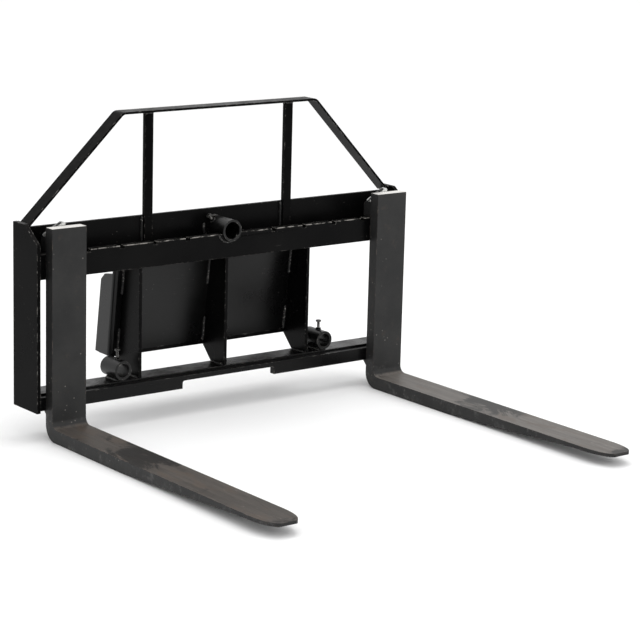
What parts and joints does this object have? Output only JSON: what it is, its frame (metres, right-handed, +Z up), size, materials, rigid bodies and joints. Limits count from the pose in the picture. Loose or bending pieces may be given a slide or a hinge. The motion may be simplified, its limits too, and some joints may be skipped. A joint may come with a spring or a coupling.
{
  "type": "pallet fork attachment",
  "caption": "Pallet fork attachment with a welded carriage frame, bent backrest, spear sleeves, tilted quick-attach plate and hanging forks that slide and lock.",
  "frame": {"origin": "on the ground under the middle of the bounding box", "axes": "+X to the right of a driver who looks along the forks' length from the front, -Y towards the fork tips, +Z up"},
  "size_m": [1.1962, 1.165, 0.818],
  "materials": {
    "frame_paint": "semi-gloss black paint",
    "fork_paint": "worn matt charcoal paint",
    "zinc_plate": "zinc plated",
    "bolt_steel": "oiled steel"
  },
  "bodies": {
    "frame": {"top_fork_bar": "frame_paint", "bottom_fork_bar": "frame_paint", "left_end_plate": "frame_paint", "right_end_plate": "frame_paint", "bottom_shelf_plate": "frame_paint", "top_tie_plate": "frame_paint", "top_rear_plate": "frame_paint", "left_rib": "frame_paint", "centre_rib": "frame_paint", "right_rib": "frame_paint", "quick_attach_plate": "frame_paint", "quick_attach_top_lip": "frame_paint", "quick_attach_bottom_lip": "frame_paint", "backrest_hoop": "frame_paint", "left_backrest_post": "frame_paint", "right_backrest_post": "frame_paint", "centre_spear_sleeve": "frame_paint", "left_spear_sleeve": "frame_paint", "right_spear_sleeve": "frame_paint", "centre_clamp_nut": "frame_paint", "left_clamp_nut": "frame_paint", "right_clamp_nut": "frame_paint"},
    "centre_clamp_bolt_body": {"centre_clamp_bolt": "bolt_steel"},
    "left_clamp_bolt_body": {"left_clamp_bolt": "bolt_steel"},
    "right_clamp_bolt_body": {"right_clamp_bolt": "bolt_steel"},
    "left_fork_body": {"left_fork": "fork_paint", "left_upper_hook": "fork_paint", "left_lower_hook": "fork_paint"},
    "left_lock_pin_body": {"left_lock_pin": "zinc_plate", "left_lever_pin": "zinc_plate"},
    "left_lock_lever_body": {"left_lock_lever": "zinc_plate"},
    "right_fork_body": {"right_fork": "fork_paint", "right_upper_hook": "fork_paint", "right_lower_hook": "fork_paint"},
    "right_lock_pin_body": {"right_lock_pin": "zinc_plate", "right_lever_pin": "zinc_plate"},
    "right_lock_lever_body": {"right_lock_lever": "zinc_plate"}
  },
  "joints": [
    {"name": "centre_clamp_bolt_screw", "type": "slide", "parent": "frame", "child": "centre_clamp_bolt_body", "axis": [-0.7071, 0, 0.7071], "range_m": [-0.008, 0.008]},
    {"name": "left_clamp_bolt_screw", "type": "slide", "parent": "frame", "child": "left_clamp_bolt_body", "axis": [0, 0, 1], "range_m": [-0.008, 0.008]},
    {"name": "right_clamp_bolt_screw", "type": "slide", "parent": "frame", "child": "right_clamp_bolt_body", "axis": [0, 0, 1], "range_m": [-0.008, 0.008]},
    {"name": "left_fork_slide", "type": "slide", "parent": "frame", "child": "left_fork_body", "axis": [1, 0, 0], "range_m": [0, 0.4064]},
    {"name": "left_lock_pin_slide", "type": "slide", "parent": "left_fork_body", "child": "left_lock_pin_body", "axis": [0, 0, -1], "range_m": [0, 0.0081]},
    {"name": "left_lock_lever_hinge", "type": "hinge", "parent": "left_lock_pin_body", "child": "left_lock_lever_body", "pos_m": [-0.5346, 0.4025, 0.538], "axis": [0, 1, 0], "range_deg": [0, 30]},
    {"name": "right_fork_slide", "type": "slide", "parent": "frame", "child": "right_fork_body", "axis": [1, 0, 0], "range_m": [-0.3556, 0]},
    {"name": "right_lock_pin_slide", "type": "slide", "parent": "right_fork_body", "child": "right_lock_pin_body", "axis": [0, 0, -1], "range_m": [0, 0.0081]},
    {"name": "right_lock_lever_hinge", "type": "hinge", "parent": "right_lock_pin_body", "child": "right_lock_lever_body", "pos_m": [0.5068, 0.4025, 0.538], "axis": [0, 1, 0], "range_deg": [0, 30]}
  ],
  "couplings": [
    {"joint": "left_lock_pin_slide", "follows": "left_lock_lever_hinge", "m_per_rad": 0.01547},
    {"joint": "right_lock_pin_slide", "follows": "right_lock_lever_hinge", "m_per_rad": 0.01547}
  ]
}
